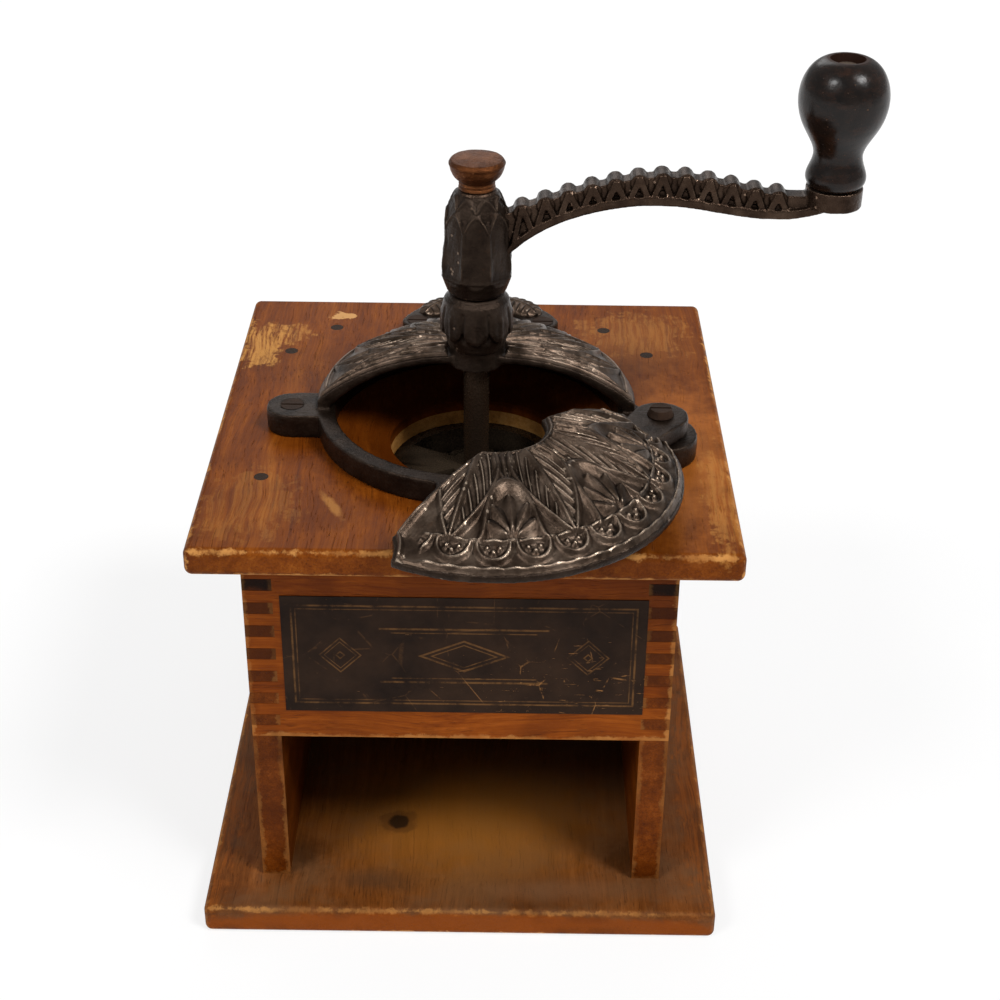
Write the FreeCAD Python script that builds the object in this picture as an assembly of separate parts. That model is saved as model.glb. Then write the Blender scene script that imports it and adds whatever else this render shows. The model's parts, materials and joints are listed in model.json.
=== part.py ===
"""Hand crank box coffee mill: a finger-jointed wooden box with a cast iron hopper, crank and burrs.

Millimetres, +Z up. The origin is the centre of the base board's underside, -Y is the front of the mill.
"""
import FreeCAD, Part
import math
import os

V = FreeCAD.Vector
UP = V(0, 0, 1)

# Wooden box
base_w = 184.0
base_d = 184.0
base_t = 11.5
box_w = 145.0
box_d = 147.0
box_h = 143.5
wall_t = 10.0
bay_h = 64.0
finger_h = 4.7
finger_gap = 0.12
top_w = 178.0
top_d = 188.0
top_t = 10.0
top_shift_x = 2.0
board_round = 2.6
mill_board_t = 10.0
mill_board_fit = 0.3
label_margin = 11.0
label_w = box_w - 2 * label_margin
label_h = 47.5
label_t = 0.3
label_shift_x = 1.3
label_drop = 20.5

# Hopper casting, on a vertical axis a little forward of the middle
axis_x = 4.0
axis_y = -10.0
ring_r_out = 55.5
ring_r_in = 49.3
ring_h = 8.5
ear_r = 9.0
ear_reach = 64.5
ear_forward = 1.5
tongue_half_w = 12.0
tongue_reach = 63.0
tongue_corner = 4.0
dome_wall = 3.2
dome_rise = 29.6
dome_mid_r = 36.0
dome_mid_h = 24.0
dome_foot_h = 12.0
arch_forward = 5.3
tower_h = 52.0
tower_r = 11.1
tower_neck_r = 9.1
tower_flats = 21.6
tail_r = 26.0
tail_centre_back = 65.0
tail_w = 12.0
tail_h = 5.5
tail_sweep = 68.0
stem_w = 11.0

# Bean hole through the boards
dish_depth = 6.0
hole_r = 30.5

# Swinging cover
cover_open = 48.0
cover_r = 61.5
cover_lift = 0.5
cover_lip = 2.3
cover_crown_h = 28.4
cover_mid_h = 23.6
cover_bead_r = 53.5
cover_bead_h = 14.8
cover_notch_r = 16.0
cover_gap = 1.7
cover_scoop = 3.0
pivot_dx = 63.0
pivot_dy = -18.5
pivot_ear_r = 13.0
pivot_lug_r = 9.5
pivot_lug_t = 6.2
pivot_r = 3.0
pivot_head_r = 4.6
pivot_head_h = 2.4
pivot_seat_gap = 0.3

# Shaft, crank and knob
shaft_r = 4.5
run_fit = 0.06
square_across = 6.6
square_fit = 0.12
thread_r = 3.1
thread_pitch = 1.27
burr_travel = 1.0
hub_h = 36.5
hub_gap = 0.3
hub_r = 11.7
hub_top_r = 6.3
hub_flats = 22.7
hub_taper = 0.82
crank_throw = 117.0
arm_web_w = 6.4
arm_flange_w = 10.5
arm_flange_t = 3.0
arm_rib_w = 9.4
arm_rib_t = 1.4
tooth_pitch = 7.6
tooth_count = 12
tooth_first = 15.0
tooth_bump_r = 2.9
tooth_valley = 1.1
arm_boss_r = 9.4
arm_boss_t = 6.3
arm_boss_rise = 32.5
nut_h = 10.8
nut_r = 9.5
nut_neck_r = 5.6
nut_bead = 0.55
nut_gap = 0.15
knob_h = 42.1
knob_r = 14.5
knob_base_r = 9.8
knob_neck_r = 8.0
knob_mouth_r = 5.7
knob_bore_deep = 5.3
spindle_r = 3.0
spindle_head_r = 5.0
spindle_head_h = 2.2
washer_r = 5.6
washer_t = 0.8
knob_gap = 0.3

# Burrs under the boards
housing_r = 31.6
housing_wall = 3.4
housing_deep = 35.0
housing_lip = 3.0
flange_r = 44.0
flange_t = 4.0
collar_fit = 0.5
collar_wall = 4.0
bridge_rise = 5.0
bridge_half_angle = 28.0
bridge_hub_r = 9.0
outer_burr_fit = 0.1
outer_burr_mouth_r = 25.2
outer_burr_exit_r = 23.7
outer_teeth = 18
inner_burr_h = 30.0
inner_burr_top_r = 9.5
inner_burr_foot_r = 22.2
inner_teeth = 14
tooth_groove = 2.0
burr_pin_r = 1.6

# Fasteners
screw_r = 1.8
screw_head_r = 4.0
screw_head_h = 2.4
screw_fit = 0.05
slot_w = 0.9
slot_deep = 0.8
hopper_screw_bite = 9.0
burr_screw_l = 12.5
board_screw_l = 17.0
base_screw_l = 32.0
nail_r = 1.1
nail_head_r = 2.4
nail_head_h = 1.0
nail_l = 30.0

# Heights and places worked out from the sizes above
box_z = base_t
top_z = box_z + box_h
deck_z = top_z + top_t
front_z = box_z + bay_h
mill_board_z = top_z - mill_board_t
dish_z = deck_z - dish_depth
flange_z = mill_board_z - flange_t
housing_z = mill_board_z - housing_deep
bridge_z = mill_board_z + bridge_rise
tower_z = deck_z + tower_h
hub_z = tower_z + hub_gap
hub_top_z = hub_z + hub_h
nut_z = hub_top_z + nut_gap
cover_z = deck_z + ring_h + cover_lift
pivot_x = axis_x + pivot_dx
pivot_y = axis_y + pivot_dy
knob_x = axis_x + crank_throw
boss_z = hub_z + arm_boss_rise
boss_top_z = boss_z + arm_boss_t
knob_z = boss_top_z + knob_gap
burr_top_z = mill_board_z - 2.0
burr_foot_z = burr_top_z - inner_burr_h


def block(x0, x1, y0, y1, z0, z1):
    return Part.makeBox(x1 - x0, y1 - y0, z1 - z0, V(x0, y0, z0))


def rod(radius, z0, z1, x=axis_x, y=axis_y):
    return Part.makeCylinder(radius, z1 - z0, V(x, y, z0), UP)


def cone(r0, r1, z0, z1, x=axis_x, y=axis_y):
    return Part.makeCone(r0, r1, z1 - z0, V(x, y, z0), UP)


def fuse(shapes):
    whole = shapes[0]
    if len(shapes) > 1:
        whole = whole.multiFuse(shapes[1:])
    return whole.removeSplitter()


def line(a, b):
    return Part.LineSegment(a, b).toShape()


def arc(a, b, c):
    return Part.Arc(a, b, c).toShape()


def smooth(points):
    curve = Part.BSplineCurve()
    curve.interpolate(points)
    return curve


def turned(edges, x=axis_x, y=axis_y, start=0.0, sweep=360.0):
    """A solid of revolution from edges drawn in the XZ plane with the axis at X = 0."""
    face = Part.Face(Part.Wire(edges))
    solid = face.revolve(V(0, 0, 0), UP, sweep)
    solid.rotate(V(0, 0, 0), UP, start)
    solid.translate(V(x, y, 0))
    return solid


def outline(points, height, z):
    """A prism over a closed outline of straight runs."""
    corners = [V(px, py, z) for px, py in points]
    face = Part.Face(Part.makePolygon(corners + corners[:1]))
    return face.extrude(V(0, 0, height))


def eight_sided(across, z0, z1, taper=1.0):
    """An eight sided prism or pyramid stump on the mill's axis, with a flat towards the front."""
    wires = []
    for z, size in ((z0, across), (z1, across * taper)):
        radius = size / 2 / math.cos(math.pi / 8)
        ring = []
        for k in range(8):
            angle = math.pi / 8 + k * math.pi / 4
            ring.append(V(axis_x + radius * math.cos(angle), axis_y + radius * math.sin(angle), z))
        wires.append(Part.makePolygon(ring + ring[:1]))
    return Part.makeLoft(wires, True, True)


def polar(radius, degrees, x=axis_x, y=axis_y):
    angle = math.radians(degrees)
    return x + radius * math.cos(angle), y + radius * math.sin(angle)


def rounded_board(w, d, z0, t, x=0.0):
    board = block(x - w / 2, x + w / 2, -d / 2, d / 2, z0, z0 + t)
    return board.makeFillet(board_round, board.Edges)


def wood_screw(x, y, z_head, length, down=1):
    """A slotted countersunk screw with its head flush at z_head, driven down or, with -1, up."""
    head = cone(screw_head_r, screw_r, 0, screw_head_h, x, y)
    shank = rod(screw_r, screw_head_h, length - screw_r, x, y)
    tip = cone(screw_r, 0.3, length - screw_r, length, x, y)
    slot = block(x - screw_head_r, x + screw_head_r, y - slot_w / 2, y + slot_w / 2, -1, slot_deep)
    screw = fuse([head, shank, tip]).cut(slot)
    return place_screw(screw, x, y, z_head, down)


def screw_hole(x, y, z_head, length, down=1):
    head = cone(screw_head_r + screw_fit, screw_r + screw_fit, 0, screw_head_h, x, y)
    mouth = rod(screw_head_r + screw_fit, -5, 0, x, y)
    shank = rod(screw_r + screw_fit, screw_head_h, length + screw_fit, x, y)
    return place_screw(fuse([mouth, head, shank]), x, y, z_head, down)


def place_screw(shape, x, y, z_head, down):
    if down == 1:
        shape.rotate(V(x, y, 0), V(1, 0, 0), 180)
    shape.translate(V(0, 0, z_head))
    return shape


# Places of the fasteners, shared by the screws and their holes
tail_y = axis_y + tail_centre_back
ear_at = (axis_x - ear_reach, axis_y - ear_forward)
tongue_at = (axis_x, axis_y - (ring_r_out + tongue_reach) / 2)
tail_tips = [polar(tail_r, 90 + side * tail_sweep, axis_x, tail_y) for side in (1, -1)]
hopper_screw_tops = [
    (*ear_at, deck_z + ring_h),
    (*tongue_at, deck_z + ring_h),
    (*tail_tips[0], deck_z + tail_h),
    (*tail_tips[1], deck_z + tail_h),
]
burr_screw_at = [polar((flange_r + housing_r) / 2, 45 + 90 * k) for k in range(4)]
inner_half_w = box_w / 2 - wall_t - mill_board_fit
inner_half_d = box_d / 2 - wall_t - mill_board_fit
board_screw_inset = 9.0
board_screw_at = [
    (sx * (inner_half_w - board_screw_inset), sy * (inner_half_d - board_screw_inset))
    for sx in (-1, 1)
    for sy in (-1, 1)
]
side_mid = box_w / 2 - wall_t / 2
base_screw_at = [(sx * side_mid, sy * box_d / 4) for sx in (-1, 1) for sy in (-1, 1)]
side_nail_y = 47.5
back_nail_x = 52.0
back_mid = box_d / 2 - wall_t / 2
side_nail_at = [(sx * side_mid, sy * side_nail_y) for sx in (-1, 1) for sy in (-1, 1)]
back_nail_at = [(sx * back_nail_x, back_mid) for sx in (-1, 1)]
nail_at = side_nail_at + back_nail_at


def hopper_screw_length(z_head):
    """Long enough to bite into the top board, and short enough to stay in it."""
    return z_head - deck_z + hopper_screw_bite


def finger_cells(z0, z1, first):
    """Height spans of every second finger between z0 and z1, starting with finger number first."""
    count = 2 * round((z1 - z0) / finger_h / 2 - 0.5) + 1
    pitch = (z1 - z0) / count
    return [(z0 + k * pitch, z0 + (k + 1) * pitch) for k in range(first, count, 2)]


def make_base_board():
    board = rounded_board(base_w, base_d, 0, base_t)
    for x, y in base_screw_at:
        board = board.cut(screw_hole(x, y, 0, base_screw_l, -1))
    return board


def make_side(sign):
    """A side wall whose front and back edges carry fingers between those of the end walls."""
    inner, outer = box_w / 2 - wall_t, box_w / 2
    x0, x1 = sorted((sign * inner, sign * outer))
    side = block(x0, x1, -box_d / 2, box_d / 2, box_z, top_z)
    cuts = []
    for front, z_low in ((True, front_z), (False, box_z)):
        y_edge = -box_d / 2 if front else box_d / 2 - wall_t
        for low, high in finger_cells(z_low, top_z, 0):
            z0 = low - (finger_gap if low > z_low else 0)
            y0 = y_edge - (1 if front else finger_gap)
            y1 = y_edge + wall_t + (finger_gap if front else 1)
            cuts.append(block(x0 - 1, x1 + 1, y0, y1, z0, high + finger_gap))
    side = side.cut(cuts)
    for x, y in base_screw_at:
        if x * sign > 0:
            side = side.cut(screw_hole(x, y, 0, base_screw_l, -1))
    for x, y in side_nail_at:
        if x * sign > 0:
            side = side.cut(nail_hole(x, y))
    return side


def make_end(front):
    """The front or back wall; its fingers run right through to the outside of the side walls."""
    z_low = front_z if front else box_z
    y0 = -box_d / 2 if front else box_d / 2 - wall_t
    wall = block(-box_w / 2, box_w / 2, y0, y0 + wall_t, z_low, top_z)
    cuts = []
    for low, high in finger_cells(z_low, top_z, 1):
        for sign in (-1, 1):
            x0, x1 = sorted((sign * (box_w / 2 - wall_t), sign * (box_w / 2 + 1)))
            cuts.append(block(x0, x1, y0 - 1, y0 + wall_t + 1, low, high))
    wall = wall.cut(cuts)
    if not front:
        for x, y in back_nail_at:
            wall = wall.cut(nail_hole(x, y))
    return wall


def bean_hole(z_low):
    dish = cone(hole_r, ring_r_in, dish_z, deck_z)
    return fuse([dish, rod(hole_r, z_low - 1, dish_z), rod(ring_r_in, deck_z, deck_z + 1)])


def make_top_board():
    board = rounded_board(top_w, top_d, top_z, top_t, top_shift_x)
    board = board.cut(bean_hole(top_z))
    for x, y, z in hopper_screw_tops:
        board = board.cut(screw_hole(x, y, z, hopper_screw_length(z)))
    for x, y in board_screw_at:
        board = board.cut(screw_hole(x, y, mill_board_z, board_screw_l, -1))
    for x, y in nail_at:
        board = board.cut(nail_hole(x, y))
    return board


def make_mill_board():
    board = block(-inner_half_w, inner_half_w, -inner_half_d, inner_half_d, mill_board_z, top_z)
    board = board.cut(rod(hole_r, mill_board_z - 1, top_z + 1))
    for x, y in board_screw_at:
        board = board.cut(screw_hole(x, y, mill_board_z, board_screw_l, -1))
    for x, y in burr_screw_at:
        board = board.cut(screw_hole(x, y, flange_z, burr_screw_l, -1))
    return board


def make_label():
    x0 = label_shift_x - label_w / 2
    z1 = top_z - label_drop
    return block(x0, x0 + label_w, -box_d / 2 - label_t, -box_d / 2, z1 - label_h, z1)


def nail_hole(x, y):
    head = rod(nail_head_r + screw_fit, deck_z - nail_head_h - screw_fit, deck_z + 1, x, y)
    return head.fuse(rod(nail_r + screw_fit, deck_z - nail_l - screw_fit, deck_z, x, y))


def make_nails():
    nails = []
    for x, y in nail_at:
        head = rod(nail_head_r, deck_z - nail_head_h, deck_z, x, y)
        nails.append(fuse([head, rod(nail_r, deck_z - nail_l, deck_z - nail_head_h / 2, x, y)]))
    return Part.makeCompound(nails)


def dome_edges():
    """Half section of the fixed rear part of the dome, which springs from the ring."""
    top_r = tower_neck_r - 1.0
    foot = deck_z + ring_h - 0.5
    crown, shoulder = deck_z + dome_rise, deck_z + dome_mid_h
    a = V(top_r, 0, crown)
    b = V(ring_r_out, 0, deck_z + dome_foot_h)
    c = V(ring_r_out, 0, foot)
    d = V(ring_r_out - dome_wall, 0, foot)
    e = V(top_r, 0, crown - dome_wall)
    outer = arc(a, V(dome_mid_r, 0, shoulder), b)
    inner = arc(d, V(dome_mid_r, 0, shoulder - dome_wall), e)
    return [outer, line(b, c), line(c, d), inner, line(e, a)]


def make_tower():
    """The faceted bearing post that carries the shaft's upper end."""
    foot_z = deck_z + dome_rise - dome_wall - 1.0
    waist_z = deck_z + 31.5
    belly_z = deck_z + 41.0
    side = smooth([
        V(tower_neck_r + 0.6, 0, foot_z),
        V(tower_neck_r, 0, waist_z),
        V(tower_r, 0, belly_z),
        V(tower_neck_r + 0.2, 0, tower_z),
    ]).toShape()
    top = V(0, 0, tower_z)
    foot = V(0, 0, foot_z)
    edges = [side, line(V(tower_neck_r + 0.2, 0, tower_z), top), line(top, foot),
             line(foot, V(tower_neck_r + 0.6, 0, foot_z))]
    post = turned(edges)
    return post.common(eight_sided(tower_flats, foot_z - 1, tower_z + 1))


def make_tail():
    """The anchor shaped rear foot: a stem behind the dome and two curved flukes that are screwed down."""
    z0, z1 = deck_z, deck_z + tail_h
    crescent = rod(tail_r + tail_w / 2, z0, z1, axis_x, tail_y)
    crescent = crescent.cut(rod(tail_r - tail_w / 2, z0 - 1, z1 + 1, axis_x, tail_y))
    reach = tail_r + tail_w
    left = polar(reach * 3, 90 + tail_sweep, axis_x, tail_y)
    right = polar(reach * 3, 90 - tail_sweep, axis_x, tail_y)
    far = tail_y + 3 * reach
    wedge = outline([(axis_x, tail_y), right, (right[0], far), (left[0], far), left], tail_h + 2, z0 - 1)
    crescent = crescent.common(wedge)
    ends = [rod(tail_w / 2, z0, z1, x, y) for x, y in tail_tips]
    stem_y0 = axis_y + ring_r_in
    stem = block(axis_x - stem_w / 2, axis_x + stem_w / 2, stem_y0, tail_y + tail_r, z0, z1)
    return fuse([crescent, stem] + ends)


def make_ears():
    ear_x, ear_y = ear_at
    z0, z1 = deck_z, deck_z + ring_h
    left = rod(ear_r, z0, z1, ear_x, ear_y)
    left_neck = block(ear_x, axis_x - ring_r_in, ear_y - ear_r, ear_y + ear_r, z0, z1)
    right = rod(pivot_ear_r, z0, z1, pivot_x, pivot_y)
    right_neck = outline([
        polar(ring_r_in + 2, -35), polar(pivot_ear_r, -90, pivot_x, pivot_y),
        polar(pivot_ear_r, 90, pivot_x, pivot_y), polar(ring_r_in + 2, 8),
    ], ring_h, z0)
    seat = rod(pivot_r + 4, z1, z1 + cover_lift - pivot_seat_gap, pivot_x, pivot_y)
    tongue_y = axis_y - tongue_reach
    tongue = block(axis_x - tongue_half_w, axis_x + tongue_half_w, tongue_y, axis_y - ring_r_in - 2, z0, z1)
    corners = [e for e in tongue.Edges if abs(e.CenterOfMass.y - tongue_y) < 0.01
               and abs(e.CenterOfMass.z - (z0 + z1) / 2) < 0.01]
    tongue = tongue.makeFillet(tongue_corner, corners)
    return [left, left_neck, right, right_neck, seat, tongue]


def make_hopper_casting():
    """One iron casting: ring, ears, rear part of the dome, bearing post and rear foot."""
    ring = rod(ring_r_out, deck_z, deck_z + ring_h)
    dome = turned(dome_edges())
    reach = ring_r_out + 1
    open_front = block(axis_x - reach, axis_x + reach, axis_y - reach, axis_y - arch_forward,
                       deck_z, deck_z + dome_rise + 1)
    body = fuse([ring, dome.cut(open_front), make_tower(), make_tail()] + make_ears())
    body = body.cut(rod(ring_r_in, deck_z - 1, deck_z + ring_h + 0.01))
    body = body.cut(rod(shaft_r + run_fit, deck_z, tower_z + 1))
    body = body.cut(rod(pivot_r + screw_fit, deck_z - 1, deck_z + ring_h + 1, pivot_x, pivot_y))
    for x, y, z in hopper_screw_tops:
        body = body.cut(screw_hole(x, y, z, hopper_screw_length(z)))
    return body


def make_cover():
    """The front part of the dome, drawn closed, then swung open about the right ear."""
    lip_z = cover_z + cover_lip
    bead_z = deck_z + cover_bead_h
    shoulder = deck_z + cover_mid_h
    crown = deck_z + cover_crown_h
    inner_r = cover_bead_r - 3.0
    a = V(cover_notch_r, 0, crown)
    b = V(cover_bead_r, 0, bead_z)
    c = V(cover_r, 0, lip_z)
    d = V(cover_r, 0, cover_z)
    e = V(inner_r, 0, cover_z)
    f = V(cover_notch_r, 0, crown - dome_wall)
    edges = [arc(a, V(dome_mid_r, 0, shoulder), b), line(b, c), line(c, d), line(d, e),
             arc(e, V(dome_mid_r, 0, shoulder - dome_wall), f), line(f, a)]
    shell = turned(edges, start=180.0, sweep=180.0)
    reach = cover_r + 1
    cut_y = axis_y - arch_forward - cover_gap
    gap = block(axis_x - reach, axis_x + reach, cut_y, axis_y + reach, deck_z, deck_z + dome_rise)
    scoop = rod(ear_r + cover_scoop, deck_z, deck_z + dome_rise, *ear_at)
    shell = shell.cut([gap, scoop])
    lug_top = cover_z + pivot_lug_t
    lug = rod(pivot_lug_r, cover_z, lug_top, pivot_x, pivot_y)
    neck = outline([
        polar(cover_bead_r, -32), polar(pivot_lug_r, -80, pivot_x, pivot_y),
        polar(pivot_lug_r, 100, pivot_x, pivot_y), polar(cover_bead_r, -12),
    ], pivot_lug_t, cover_z)
    cover = fuse([shell, lug, neck]).cut(rod(pivot_r + run_fit, cover_z - 1, lug_top + 1, pivot_x, pivot_y))
    cover.rotate(V(pivot_x, pivot_y, 0), UP, cover_open)
    return cover


def make_cover_rivet():
    lug_top = cover_z + pivot_lug_t
    head_z = lug_top + pivot_seat_gap
    shank = rod(pivot_r, deck_z, head_z + 0.5, pivot_x, pivot_y)
    head = cone(pivot_head_r, pivot_head_r - 1.0, head_z, head_z + pivot_head_h, pivot_x, pivot_y)
    slot = block(pivot_x - pivot_head_r, pivot_x + pivot_head_r, pivot_y - slot_w / 2, pivot_y + slot_w / 2,
                 head_z + pivot_head_h - slot_deep, head_z + pivot_head_h + 1)
    return fuse([shank, head]).cut(slot)


def make_hopper_screws():
    return Part.makeCompound([wood_screw(x, y, z, hopper_screw_length(z)) for x, y, z in hopper_screw_tops])


def make_upward_screws(places, z_head, length):
    return Part.makeCompound([wood_screw(x, y, z_head, length, -1) for x, y in places])


def make_burr_housing():
    """Cast shell under the boards, with a bow tie bridge across the bean hole that steadies the shaft."""
    collar_r = hole_r - collar_fit
    throat_r = collar_r - collar_wall
    shell = rod(housing_r, housing_z, mill_board_z)
    flange = rod(flange_r, flange_z, mill_board_z)
    collar = rod(collar_r, mill_board_z, bridge_z)
    body = fuse([shell, flange, collar])
    body = body.cut(rod(housing_r - housing_wall, housing_z + housing_lip, flange_z))
    body = body.cut(rod(outer_burr_exit_r + 0.9, housing_z - 1, housing_z + housing_lip + 1))
    body = body.cut(rod(throat_r, flange_z - 1, bridge_z + 1))
    reach = 2 * collar_r
    wings = []
    for middle in (0, 180):
        corners = [(axis_x, axis_y)] + [polar(reach, middle + s * bridge_half_angle) for s in (-1, 1)]
        wings.append(outline(corners, bridge_rise, mill_board_z))
    bridge = fuse(wings + [rod(bridge_hub_r, mill_board_z, bridge_z)]).common(rod(collar_r, mill_board_z, bridge_z))
    body = fuse([body, bridge]).cut(rod(shaft_r + run_fit, mill_board_z - 1, bridge_z + 1))
    for x, y in burr_screw_at:
        body = body.cut(screw_hole(x, y, flange_z, burr_screw_l, -1))
    return body


def burr_grooves(count, r_top, r_foot, z_top, z_foot, skew):
    """Slanting grooves set round a cone, for the grinding teeth."""
    grooves = []
    height = z_top - z_foot
    lean = math.degrees(math.atan2(r_foot - r_top, height))
    for k in range(count):
        groove = block(-tooth_groove, tooth_groove, -tooth_groove / 2, tooth_groove / 2, -height, height)
        groove.rotate(V(0, 0, 0), UP, 45)
        groove.rotate(V(0, 0, 0), V(1, 0, 0), skew)
        groove.rotate(V(0, 0, 0), V(0, 1, 0), -lean)
        groove.translate(V((r_top + r_foot) / 2 + 0.4, 0, (z_top + z_foot) / 2))
        groove.rotate(V(0, 0, 0), UP, 360.0 * k / count)
        groove.translate(V(axis_x, axis_y, 0))
        grooves.append(groove)
    return grooves


def make_outer_burr():
    z0, z1 = housing_z + housing_lip, flange_z
    ring = rod(housing_r - housing_wall - outer_burr_fit, z0, z1)
    ring = ring.cut(cone(outer_burr_exit_r, outer_burr_mouth_r, z0, z1))
    return ring.cut(burr_grooves(outer_teeth, outer_burr_mouth_r, outer_burr_exit_r, z1, z0, 12.0))


def make_inner_burr():
    body = cone(inner_burr_foot_r, inner_burr_top_r, burr_foot_z, burr_top_z)
    body = body.cut(burr_grooves(inner_teeth, inner_burr_top_r, inner_burr_foot_r, burr_top_z, burr_foot_z, -14.0))
    body = body.cut(rod(shaft_r, burr_foot_z - 1, burr_top_z + 1))
    return body.cut(burr_pin_body())


def burr_pin_body():
    half = inner_burr_foot_r - 4.0
    return Part.makeCylinder(burr_pin_r, 2 * half, V(axis_x - half, axis_y, burr_foot_z + 6.0), V(1, 0, 0))


def make_shaft():
    """Round shaft with a square for the crank hub and a threaded end for the nut, drawn as its outside."""
    round_part = rod(shaft_r, burr_foot_z - 2.0, hub_z + 2.0)
    half = square_across / 2
    square = block(axis_x - half, axis_x + half, axis_y - half, axis_y + half, hub_z, hub_top_z - 2.0)
    square = square.common(rod(shaft_r, hub_z, hub_top_z))
    thread = rod(thread_r, hub_top_z - 3.0, nut_z + nut_h - 2.5 - burr_travel)
    return fuse([round_part, square, thread]).cut(burr_pin_body())


def make_hub():
    belly_z = hub_z + 7.5
    shoulder_z = hub_z + 28.5
    points = [
        V(hub_r - 2.4, 0, hub_z),
        V(hub_r, 0, belly_z),
        V(hub_r - 1.1, 0, hub_z + 18.0),
        V(hub_r - 2.3, 0, shoulder_z),
        V(hub_top_r, 0, hub_top_z),
    ]
    top, foot = V(0, 0, hub_top_z), V(0, 0, hub_z)
    edges = [smooth(points).toShape(), line(points[-1], top), line(top, foot), line(foot, points[0])]
    return turned(edges).common(eight_sided(hub_flats, hub_z - 1, hub_top_z + 1, hub_taper))


def arm_curves():
    """Lower and upper edge of the crank arm: rising from the hub, bowed over, then dropping to the knob."""
    lower = smooth([
        V(axis_x + 6.0, axis_y, hub_z + 9.0), V(axis_x + 20.0, axis_y, hub_z + 22.5),
        V(axis_x + 41.0, axis_y, hub_z + 30.8), V(axis_x + 63.0, axis_y, hub_z + 32.8),
        V(axis_x + 95.0, axis_y, hub_z + 28.7), V(knob_x, axis_y, boss_z),
    ])
    upper = smooth([
        V(axis_x + 6.0, axis_y, hub_z + 28.5), V(axis_x + 20.0, axis_y, hub_z + 33.5),
        V(axis_x + 41.0, axis_y, hub_z + 40.0), V(axis_x + 63.0, axis_y, hub_z + 43.2),
        V(axis_x + 95.0, axis_y, hub_z + 38.0), V(knob_x, axis_y, boss_top_z - 0.4),
    ])
    return lower, upper


def height_at(curve, x):
    """Height of a curve that runs along X, found by halving."""
    low, high = curve.FirstParameter, curve.LastParameter
    for _ in range(40):
        mid = (low + high) / 2
        if curve.value(mid).x < x:
            low = mid
        else:
            high = mid
    return curve.value(low).z


def arm_slice(lower, upper, width):
    """A flat web between two curves, centred on the arm's middle plane."""
    ends = [lower.value(lower.FirstParameter), lower.value(lower.LastParameter),
            upper.value(upper.LastParameter), upper.value(upper.FirstParameter)]
    wire = Part.Wire([lower.toShape(), line(ends[1], ends[2]), upper.toShape(), line(ends[3], ends[0])])
    web = Part.Face(wire).extrude(V(0, width, 0))
    web.translate(V(0, -width / 2, 0))
    return web


def raised(curve, rise):
    copy = curve.copy()
    copy.translate(V(0, 0, rise))
    return copy


def arm_tooth(x, lower, upper):
    """One zigzag ornament: an inverted V of ribs on both faces of the web, under a round bump."""
    apex = height_at(upper, x)
    half = tooth_pitch / 2
    feet = [height_at(lower, x + s * half) + arm_flange_t - 0.4 for s in (-1, 1)]
    outer = [(x - half, feet[0]), (x + half, feet[1]), (x + 1.0, apex), (x - 1.0, apex)]
    slope = arm_rib_t * 1.2
    inner = [(x - half + slope, feet[0] - 1), (x + half - slope, feet[1] - 1), (x, apex - 2.2 * arm_rib_t)]
    shapes = []
    for points in (outer, inner):
        corners = [V(px, axis_y - arm_rib_w / 2, pz) for px, pz in points]
        shapes.append(Part.Face(Part.makePolygon(corners + corners[:1])).extrude(V(0, arm_rib_w, 0)))
    bump = Part.makeCylinder(tooth_bump_r, arm_rib_w - 1.6,
                             V(x, axis_y - arm_rib_w / 2 + 0.8, apex - tooth_bump_r + 0.6), V(0, 1, 0))
    return [shapes[0].cut(shapes[1]), bump]


def make_crank_arm():
    """Hub, bowed arm with its zigzag ornament, and the flat end that holds the knob's spindle."""
    lower, upper = arm_curves()
    web = arm_slice(lower, raised(upper, -tooth_valley), arm_web_w)
    flange = arm_slice(lower, raised(lower, arm_flange_t), arm_flange_w)
    teeth = []
    for k in range(tooth_count):
        teeth += arm_tooth(axis_x + tooth_first + k * tooth_pitch, lower, upper)
    boss = rod(arm_boss_r, boss_z, boss_top_z, knob_x)
    crank = fuse([make_hub(), web, flange, boss] + teeth)
    half = square_across / 2 + square_fit
    drive = block(axis_x - half, axis_x + half, axis_y - half, axis_y + half, hub_z - 1, hub_top_z + 1)
    drive = drive.common(rod(shaft_r + square_fit, hub_z - 1, hub_top_z + 1))
    socket = rod(shaft_r + square_fit, hub_z - 1, hub_z + 2.0 + 2 * burr_travel)
    above = block(axis_x - hub_r, knob_x, axis_y - hub_r, axis_y + hub_r, hub_top_z, hub_top_z + 20)
    near_hub = rod(hub_top_r + 6, hub_top_z, hub_top_z + 20)
    crank = crank.cut([drive, socket, above.common(near_hub)])
    return crank.cut(rod(spindle_r + screw_fit, boss_z - 5, boss_top_z + 1, knob_x))


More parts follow.
